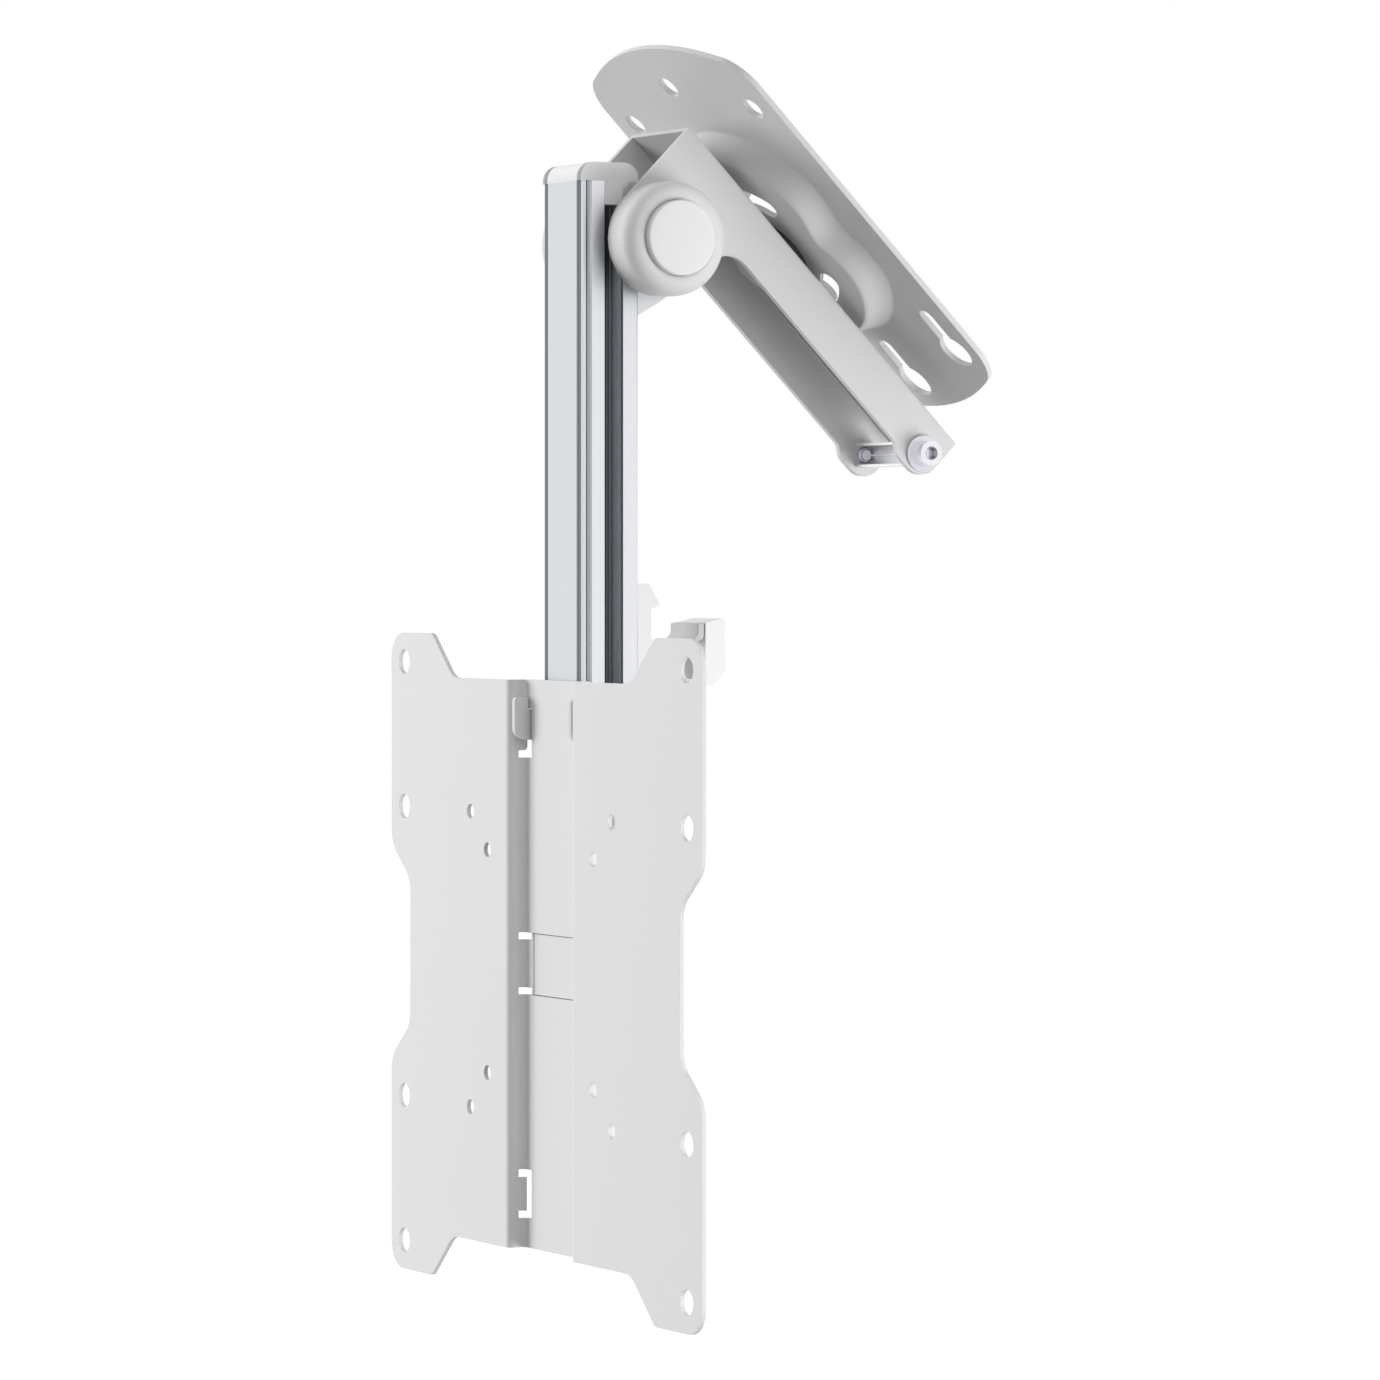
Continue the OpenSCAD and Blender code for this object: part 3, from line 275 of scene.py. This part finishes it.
def painted_pole_shade(metal, colour):
    """Painted shade on the pole: a darker front face for its dimmer reflection, shade lines along its
    front and sides, and bands of shade that stand for the ribs in its side slots.
    """
    across = metal.axis("X")
    depth = metal.axis("Y") - POLE_FRONT * MM
    face = band(depth, *POLE_FACE)
    sides = abs(across) > POLE_SLOT_FLOOR * MM
    slots = (abs(across) < POLE_SLOT_FLOOR * MM) * band(depth, *POLE_SLOT)
    colour = metal.between(face, colour, POLE_FACE_DIM_REFLECTION)
    colour = lined(metal, colour, face, across, POLE_FACE_SHADE_LINES)
    colour = lined(metal, colour, sides, depth, POLE_SIDE_SHADE_LINES)
    return metal.between(slots, colour, lined(metal, POLE_SLOT_COAT, 1.0, depth, POLE_SLOT_SHADE_BANDS))


def painted_bar_highlights(metal, colour):
    """Painted highlights: paler lips and a paler middle rib."""
    middle_y, middle_z = axis_of("catch_bar")
    lips = metal.axis("Y") < (middle_y - BAR_LIP_HIGHLIGHT_FROM) * MM
    rib = abs(metal.axis("Z") - middle_z * MM) < BAR_RIB_HIGHLIGHT_HALF_W * MM
    return metal.between(lips | rib, colour, BAR_HIGHLIGHT)


def painted_socket_shade(metal, colour):
    """Painted shade and light in the sockets of the bar's screws: a dark rim of shade, and a paler
    floor.
    """
    middle_y, middle_z = axis_of("bar_screws")
    out = metal.axis("Y") - middle_y * MM
    up = metal.axis("Z") - middle_z * MM
    for radius, level in SOCKET_SHADES:
        colour = metal.between(up * up + out * out < (radius * MM) ** 2, colour, grey(level, 0.09))
    return colour


def painted_cap_shade(plastic, colour):
    """Painted shade lines that carry the pole's edge lines on over its cap."""
    for near, far, level in CAP_SHADE_LINES:
        colour = plastic.between(band(plastic.axis("X"), near, far), colour, grey(level, 0.02))
    return colour


def powder_coat(name, low, high, marks=unmarked):
    """Baked powder: a fine orange peel, with a faint cloudiness under it."""
    coat = Finish(name, ior=1.46)
    cloud = coat.noise(scale=14.0, detail=3.0)
    peel = coat.noise(scale=1150.0)
    speck = coat.noise(scale=5200.0, detail=1.0)
    return coat.set(
        base_color=marks(coat, coat.between(cloud, grey(low), grey(high))),
        roughness=peel * 0.12 + cloud * 0.06 + 0.33,
        normal=coat.bump(peel + speck * 0.25, depth=0.00003, strength=0.55),
    ).material


def moulded_plastic(name, low, high, roughness, marks=unmarked):
    """Injection-moulded plastic with a fine spark-eroded grain."""
    plastic = Finish(name, ior=1.49)
    cloud = plastic.noise(scale=30.0)
    grain = plastic.noise(scale=3800.0)
    return plastic.set(
        base_color=marks(plastic, plastic.between(cloud, grey(low), grey(high))),
        roughness=grain * 0.14 + (roughness - 0.07),
        normal=plastic.bump(grain, depth=0.000012, strength=0.5),
    ).material


def extruded_aluminium(name, low, high, metallic, along, marks):
    """Satin anodised metal, from one colour to another, with faint die lines along one axis."""
    metal = Finish(name, metallic=metallic)
    stretch = tuple(0.004 if axis == along else 1.0 for axis in "XYZ")
    lines = metal.noise(scale=1500.0, detail=3.0, stretch=stretch)
    broad = metal.noise(scale=190.0, stretch=stretch)
    grain = metal.noise(scale=2600.0)
    return metal.set(
        base_color=marks(metal, metal.between(lines * 0.6 + broad * 0.4, low, high)),
        roughness=lines * 0.10 + grain * 0.08 + 0.27,
        normal=metal.bump(lines + grain * 0.3, depth=0.00001, strength=0.5),
    ).material


def cast_alloy(name):
    """Die-cast metal, matt and faintly pitted."""
    metal = Finish(name, metallic=0.35)
    pits = metal.noise(scale=900.0, detail=4.0)
    cloud = metal.noise(scale=60.0)
    return metal.set(
        base_color=metal.between(cloud, (0.84, 0.85, 0.86, 1.0), (0.90, 0.91, 0.92, 1.0)),
        roughness=pits * 0.2 + 0.36,
        normal=metal.bump(pits, depth=0.00003, strength=0.6),
    ).material


def bright_zinc(name, low, high, marks=unmarked):
    """Zinc plate on turned steel, with faint tool rings and a cool tint."""
    metal = Finish(name, metallic=0.92)
    rings = metal.noise(scale=2100.0, stretch=(1.0, 0.15, 0.15))
    cloud = metal.noise(scale=120.0, detail=1.0)
    return metal.set(
        base_color=marks(metal, metal.between(cloud, grey(low, 0.05), grey(high, 0.07))),
        roughness=rings * 0.08 + cloud * 0.06 + 0.2,
        normal=metal.bump(rings, depth=0.000002, strength=0.4),
    ).material


FINISHES = {
    "white_paint": powder_coat("white powder coat", 0.795, 0.815),
    "arm_paint": powder_coat("silvery powder coat", 0.675, 0.695),
    "bracket_paint": powder_coat("silvery arm coat with painted web shade", 0.675, 0.695, painted_web_shade),
    # Painted shade: the swivel nut, its spring and bolt get a dark coat so that they sink into the
    # shade inside the arm
    "nut_paint": powder_coat("nut coat darkened to shade", 0.40, 0.44),
    "grey_paint": powder_coat("carriage powder coat", 0.74, 0.77),
    "white_plastic": moulded_plastic("white moulded plastic", 0.83, 0.85, 0.38),
    "ring_plastic": moulded_plastic("satin ring plastic", 0.745, 0.765, 0.42),
    "disc_plastic": moulded_plastic("white disc plastic", 0.86, 0.88, 0.34),
    "grey_plastic": moulded_plastic("grey latch plastic", 0.53, 0.57, 0.5),
    "cap_plastic": moulded_plastic("cap plastic with painted shade lines", 0.87, 0.89, 0.38, painted_cap_shade),
    "dark_plastic": moulded_plastic("dark bearing plastic", 0.030, 0.042, 0.5),
    "anodised": extruded_aluminium("anodised pole with painted shade", POLE_DULL, POLE_BRIGHT, 0.88, "Z", painted_pole_shade),
    "anodised_bar": extruded_aluminium("anodised bar with painted highlights", BAR_WEB, BAR_WEB, 0.35, "X", painted_bar_highlights),
    "cast_alloy": cast_alloy("cast hinge alloy"),
    "zinc": bright_zinc("bright zinc", 0.80, 0.88),
    "washer_zinc": bright_zinc("washer zinc", 0.73, 0.79),
    "socket_zinc": bright_zinc("socket screw zinc with painted shade", 0.84, 0.90, painted_socket_shade),
    "insert_zinc": bright_zinc("insert zinc", 0.66, 0.72),
}

# Nodes whose finish isn't the one named after their material slot
OWN_FINISH = {
    "arm_bracket": "bracket_paint",
    "catch_bar": "anodised_bar",
    "pole_top_cap": "cap_plastic",
    "swivel_nut": "nut_paint",
    "swivel_disc_spring": "nut_paint",
    "swivel_bolt": "nut_paint",
    "stop_screws": "arm_paint",
    "stop_nuts": "arm_paint",
    "bar_washers": "washer_zinc",
    "bar_screws": "socket_zinc",
}

# How far each node's edges are rounded over
EDGES = {
    "arm_bracket": 0.45, "catch_bar": 0.12, "bar_washers": 0.2, "bar_screws": 0.3,
    "pole_profile": 0.12, "pole_top_cap": 0.25, "hinge_block": 0.5, "catch_hook": 0.4,
    "latch_block": 0.35, "carriage_channel": 0.35, "tv_plate": 0.3,
}
SMALL_EDGE = 0.15

# Nodes that have a piece of their own below
REDRAWN = {"ceiling_plate", "cover_ring_right", "cover_ring_left", "cover_cap_right", "cover_cap_left",
           "latch_pad", "bar_inserts"}


def settle(name, bm, body, node, finish, smooth):
    """Turns a bmesh into a finished piece that rides on a body and stands for its node.

    Edges where the surface turns by more than smooth, in degrees, stay sharp.
    """
    mesh = bpy.data.meshes.new(name)
    bm.to_mesh(mesh)
    bm.free()
    for face in mesh.polygons:
        face.use_smooth = True
    mesh.set_sharp_from_angle(angle=math.radians(smooth))
    mesh.materials.append(FINISHES[finish])
    piece = bpy.data.objects.new(name, mesh)
    bpy.context.scene.collection.objects.link(piece)
    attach(piece, body)
    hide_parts(node)
    return piece


def round_edges(piece, width, segments, angle):
    """Rounds a piece's edges over, and keeps its large faces' shading flat up to them.

    Only edges where the surface turns by more than angle, in degrees, are rounded.
    """
    edge = piece.modifiers.new("rounded edges", "BEVEL")
    edge.width = width * MM
    edge.segments = segments
    edge.limit_method = "ANGLE"
    edge.angle_limit = math.radians(angle)
    edge.use_clamp_overlap = True
    edge.material = -1
    flat = piece.modifiers.new("flat faces", "WEIGHTED_NORMAL")
    flat.keep_sharp = True
    flat.weight = 60


def arc_points(centre, radius, start, end, steps):
    """Points of an arc between two angles, with both its ends."""
    turns = [start + (end - start) * k / steps for k in range(steps + 1)]
    return [(centre[0] + radius * math.cos(t), centre[1] + radius * math.sin(t)) for t in turns]


def circle_points(centre, diameter):
    return arc_points(centre, diameter / 2, 0.0, math.tau, steps=40)[:-1]


def rounded_outline(corners, steps):
    """An outline in plan, each corner given as x, y and its radius."""
    points = []
    for i, (x, y, r) in enumerate(corners):
        here = Vector((x, y))
        before = (Vector(corners[i - 1][:2]) - here).normalized()
        after = (Vector(corners[(i + 1) % len(corners)][:2]) - here).normalized()
        half = before.angle(after) / 2
        centre = here + (before + after).normalized() * (r / math.sin(half))
        start = here + before * (r / math.tan(half)) - centre
        turn = start.angle_signed(here + after * (r / math.tan(half)) - centre)
        for k in range(steps + 1):
            swung = Matrix.Rotation(-turn * k / steps, 2) @ start
            points.append((centre.x + swung.x, centre.y + swung.y))
    return points


def loop(bm, points, z):
    """A closed loop at one height: its points and its edges."""
    verts = [bm.verts.new((x * MM, y * MM, z * MM)) for x, y in points]
    return verts, [bm.edges.new((verts[k - 1], verts[k])) for k in range(len(verts))]


def plate_points():
    """The ceiling plate in plan: straight sides, rounded corners and a large round at each end."""
    half = PLATE_W / 2
    slope = math.asin(PLATE_W * PLATE_END_SHARE / PLATE_END_R)
    tip = PLATE_LEN / 2 + PLATE_END_R * (1 / math.cos(slope) - 1)
    corner = tip - half * math.tan(slope)
    return rounded_outline([
        (half, -corner, PLATE_CORNER_R), (half, corner, PLATE_CORNER_R), (0, tip, PLATE_END_R),
        (-half, corner, PLATE_CORNER_R), (-half, -corner, PLATE_CORNER_R), (0, -tip, PLATE_END_R),
    ], steps=14)


def keyhole_points(x, y):
    """A keyhole, its wide end at x, y and its narrow end up the slope."""
    wide, narrow = KEY_D / 2, KEY_SLOT / 2
    neck = math.asin(narrow / wide)
    foot = -math.pi / 2
    return (arc_points((x, y), wide, foot - neck, foot + neck - math.tau, steps=40)
            + arc_points((x, y - KEY_TRAVEL), narrow, 0.0, -math.pi, steps=16))


def boss_points(inset):
    """The boss in plan: an oval, longest up the slope, with a waist on each side."""
    points = []
    for k in range(BOSS_POINTS):
        t = math.tau * k / BOSS_POINTS
        oval = BOSS_LEN / 2 - (BOSS_LEN - BOSS_W) / 2 * math.sin(t) ** 2
        radius = oval - (BOSS_W - BOSS_WAIST) / 2 * math.sin(t) ** BOSS_WAIST_POWER - inset
        points.append((radius * math.sin(t), radius * math.cos(t)))
    return points


def stop_slot_points(side):
    """A slot curved about the swivel axis, with round ends."""
    half = STOP_W / 2
    first, last = side * math.pi / 2 - STOP_SWING, side * math.pi / 2 + STOP_SWING
    first_centre, last_centre = [(STOP_R * math.cos(t), STOP_R * math.sin(t)) for t in (first, last)]
    return (arc_points((0, 0), STOP_R + half, first, last, steps=24)
            + arc_points(last_centre, half, last, last + math.pi, steps=10)[1:-1]
            + arc_points((0, 0), STOP_R - half, last, first, steps=24)
            + arc_points(first_centre, half, first - math.pi, first, steps=10)[1:-1])


def ceiling_plate():
    """The pressed plate, drawn as the under face of its sheet and then given its thickness."""
    bm = bmesh.new()
    flat = [loop(bm, plate_points(), -PLATE_T)]
    for t in HOLE_ANGLES:
        centre = (HOLE_R * math.sin(t), -HOLE_R * math.cos(t))
        flat.append(loop(bm, circle_points(centre, HOLE_D), -PLATE_T))
    for x, y in KEYS:
        flat.append(loop(bm, keyhole_points(x, y), -PLATE_T))
    rings = []
    for k in range(BOSS_STEPS + 1):
        share = k / BOSS_STEPS
        depth = PLATE_T + BOSS_H * (1 - math.cos(math.pi * share)) / 2
        rings.append(loop(bm, boss_points(BOSS_DRAFT * share), -depth))
    flat.append(rings[0])
    face = [rings[-1], loop(bm, circle_points((0, 0), SWIVEL_D), -PLATE_T - BOSS_H)]
    for side in (1, -1):
        face.append(loop(bm, stop_slot_points(side), -PLATE_T - BOSS_H))
    for loops in (flat, face):
        bmesh.ops.triangle_fill(bm, use_beauty=True, normal=(0, 0, -1),
                                edges=[edge for verts, edges in loops for edge in edges])
    for upper, lower in zip(rings, rings[1:]):
        bmesh.ops.bridge_loops(bm, edges=upper[1] + lower[1])
    bmesh.ops.remove_doubles(bm, verts=bm.verts, dist=0.001 * MM)
    bmesh.ops.recalc_face_normals(bm, faces=bm.faces)
    if sum(f.normal.z * f.calc_area() for f in bm.faces) > 0:
        bmesh.ops.reverse_faces(bm, faces=bm.faces)
    bmesh.ops.rotate(bm, verts=bm.verts, matrix=Matrix.Rotation(-TILT, 3, "X"))
    plate = settle("ceiling_plate_pressed", bm, "ceiling", "ceiling_plate",
                   finish="arm_paint", smooth=40.0)
    sheet = plate.modifiers.new("sheet", "SOLIDIFY")
    sheet.thickness = PLATE_T * MM
    sheet.offset = -1
    sheet.use_even_offset = True
    sheet.use_quality_normals = True
    round_edges(plate, width=0.35, segments=3, angle=50.0)


def turned(name, profile, side, node, finish):
    """A piece turned about the hinge axis, from points of distance out of the arm and radius."""
    bm = bmesh.new()
    verts = [bm.verts.new((x * MM, 0, r * MM)) for x, r in profile]
    edges = [bm.edges.new(pair) for pair in zip(verts, verts[1:])]
    bmesh.ops.spin(bm, geom=verts + edges, axis=(1, 0, 0), cent=(0, 0, 0), angle=math.tau, steps=160,
                   use_merge=True)
    bmesh.ops.remove_doubles(bm, verts=bm.verts, dist=0.002 * MM)
    bmesh.ops.translate(bm, verts=bm.verts, vec=(WALL_OUT * MM, 0, 0))
    if side < 0:
        bmesh.ops.scale(bm, verts=bm.verts, vec=(-1, 1, 1))
    bmesh.ops.translate(bm, verts=bm.verts, vec=PIVOT * MM)
    bmesh.ops.recalc_face_normals(bm, faces=bm.faces)
    settle(name, bm, "arm", node, finish, smooth=38.0)


def hinge_covers():
    """The ring and the disc on each side of the hinge."""
    bore = DISC_R - DISC_LAP
    seat = RING_H - SEAT_DEPTH
    ring = [(0.0, bore), (0.0, RING_R - RING_FOOT_R)]
    ring += arc_points((RING_FOOT_R, RING_R - RING_FOOT_R), RING_FOOT_R, math.pi, math.pi / 2, steps=4)
    ring += arc_points((RING_H - RING_EDGE_R, RING_R - RING_EDGE_R), RING_EDGE_R,
                       math.pi / 2, EDGE_END, steps=22)
    ring += [(RING_H + over, DISC_R + beside) for over, beside in RING_LIP]
    ring += [(seat, DISC_R + DISC_GAP), (seat, bore), (0.0, bore)]
    flat_r = DISC_R - DISC_EDGE_R
    stem_r = bore - STEM_GAP
    disc = [(seat - STEM_LEN, 0.0), (seat - STEM_LEN, stem_r - STEM_LEAD_IN), (seat, stem_r)]
    disc += [(seat, DISC_R)]
    disc += arc_points((DISC_H - DISC_EDGE_R, flat_r), DISC_EDGE_R, math.pi / 2, EDGE_END, steps=10)
    disc += [(DISC_H + DISC_CROWN * (1 - (r / flat_r) ** 2), r) for r in range(10, -1, -2)]
    for side, word in ((1, "right"), (-1, "left")):
        turned("hinge_ring_" + word, ring, side, "cover_ring_" + word, "ring_plastic")
        turned("hinge_disc_" + word, disc, side, "cover_cap_" + word, "disc_plastic")


def latch_pad():
    """The soft pad on the latch block's front, with its foot turned out."""
    low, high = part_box("latch_pad")
    back, top = high.y / MM, high.z / MM
    front, foot = back - PAD_T, top - PAD_H
    outline = rounded_outline([
        (front, top - PAD_FALL, 0.5), (front, foot + SHIN_UP, 2.2),
        (front - TOE_OUT, foot + TOE_UP, 0.35), (front - SOLE_OUT, foot, 0.35),
        (back, foot + HEEL_UP, 1.4), (back, top, 0.3),
    ], steps=6)
    bm = bmesh.new()
    verts = [bm.verts.new((low.x, y * MM, z * MM)) for y, z in outline]
    side = bmesh.ops.extrude_face_region(bm, geom=[bm.faces.new(verts)])
    bmesh.ops.translate(bm, verts=[v for v in side["geom"] if isinstance(v, bmesh.types.BMVert)],
                        vec=(high.x - low.x, 0, 0))
    bmesh.ops.recalc_face_normals(bm, faces=bm.faces)
    pad = settle("latch_pad_moulded", bm, "latch", "latch_pad",
                 finish="grey_plastic", smooth=40.0)
    round_edges(pad, width=0.3, segments=3, angle=50.0)


def bar_plugs():
    """The catch bar's end plugs, each a small disc that its screw's end stands out of."""
    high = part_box("bar_inserts")[1]
    middle_y, middle_z = axis_of("bar_inserts")
    bm = bmesh.new()
    for side in (1, -1):
        end = Matrix.Translation((side * (high.x - PLUG_T / 2 * MM), middle_y * MM, middle_z * MM))
        bmesh.ops.create_cone(bm, cap_ends=True, segments=64, radius1=PLUG_R * MM, radius2=PLUG_R * MM,
                              depth=PLUG_T * MM, matrix=end @ Matrix.Rotation(math.radians(90), 4, "Y"))
    plugs = settle("bar_plugs", bm, "arm", "bar_inserts", finish="insert_zinc", smooth=40.0)
    round_edges(plugs, width=0.15, segments=2, angle=50.0)


def refine(node, body, slot, clear):
    """A welded copy of a frame node, with its sharp edges rounded over.

    No point of it stays nearer to the part's middle plane than clear, in metres.
    """
    bm = bmesh.new()
    bm.from_mesh(frame["nodes"][node].data)
    for vert in bm.verts:
        if abs(vert.co.x) < clear:
            vert.co.x = math.copysign(clear, vert.co.x)
    bmesh.ops.remove_doubles(bm, verts=bm.verts, dist=0.002 * MM)
    bmesh.ops.dissolve_degenerate(bm, dist=0.001 * MM, edges=bm.edges)
    bmesh.ops.dissolve_limit(bm, angle_limit=math.radians(0.2), verts=bm.verts, edges=bm.edges)
    piece = settle(node + "_finished", bm, body, node, OWN_FINISH.get(node, slot), smooth=30.0)
    round_edges(piece, EDGES.get(node, SMALL_EDGE), segments=2, angle=28.0)


def dress():
    """Gives every node of the frame its finished piece."""
    ceiling_plate()
    hinge_covers()
    latch_pad()
    bar_plugs()
    slots = {part["node"]: part["material_slot"] for part in frame["record"]["subparts"]}
    screw_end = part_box("bar_inserts")[1].x - (PLUG_T + SCREW_OUT) * MM
    for body, nodes in frame["record"]["behaviour"]["bodies"].items():
        for node in nodes:
            if node not in REDRAWN:
                refine(node, body, slots[node], screw_end if node == "bar_screws" else 0.0)


def surroundings():
    """White where it is seen, and a low light from all around."""
    world = bpy.data.worlds.new("studio")
    bpy.context.scene.world = world
    world.use_nodes = True
    sky = Shading(world.node_tree)
    seen = sky.ray("Camera") | sky.ray("Glossy") | sky.ray("Transmission")
    back = sky.tree.nodes["Background"]
    back.inputs["Color"].default_value = (1, 1, 1, 1)
    sky.feed(back.inputs["Strength"], seen * (1.0 - AMBIENT) + AMBIENT)


def pale_floor():
    """A floor far below the mount, which shows as a pale ground."""
    bm = bmesh.new()
    bmesh.ops.create_grid(bm, x_segments=2, y_segments=2, size=FLOOR_HALF_W,
                          matrix=Matrix.Translation((0, 0, FLOOR_Z)))
    mesh = bpy.data.meshes.new("floor")
    bm.to_mesh(mesh)
    bm.free()
    floor = bpy.data.objects.new("floor", mesh)
    bpy.context.scene.collection.objects.link(floor)
    paint = Finish("pale floor", base_color=grey(FLOOR_GREY), roughness=0.8, emission_strength=1.0)
    seen = (paint.ray("Camera") | paint.ray("Glossy")) * FLOOR_SEEN
    paint.set(emission_color=paint.between(seen, grey(0.0), grey(1.0)))
    mesh.materials.append(paint.material)


def lamps():
    """Soft square lamps that don't show in the metal."""
    for name, (place, aim, width, watts) in LAMPS.items():
        light = bpy.data.lights.new(name, "AREA")
        light.shape = "SQUARE"
        light.size = width
        light.energy = watts
        lamp = bpy.data.objects.new(name, light)
        lamp.location = place
        lamp.rotation_euler = (Vector(aim) - Vector(place)).to_track_quat("-Z", "Y").to_euler()
        lamp.visible_glossy = False
        bpy.context.scene.collection.objects.link(lamp)


def photo_camera():
    """The photograph's camera, level and turned about the vertical only."""
    lens = bpy.data.cameras.new("photo camera")
    lens.sensor_width = 36.0
    lens.lens = CAMERA_LENS
    lens.shift_y = CAMERA_SHIFT
    lens.clip_start = 0.05
    lens.clip_end = 200.0
    camera = bpy.data.objects.new("photo camera", lens)
    camera.location = CAMERA_PLACE
    camera.rotation_euler = (math.radians(90), 0, math.radians(CAMERA_TURN))
    bpy.context.scene.collection.objects.link(camera)
    bpy.context.scene.camera = camera
    bpy.context.scene.view_settings.view_transform = "Standard"


surroundings()
pale_floor()
lamps()
photo_camera()
dress()
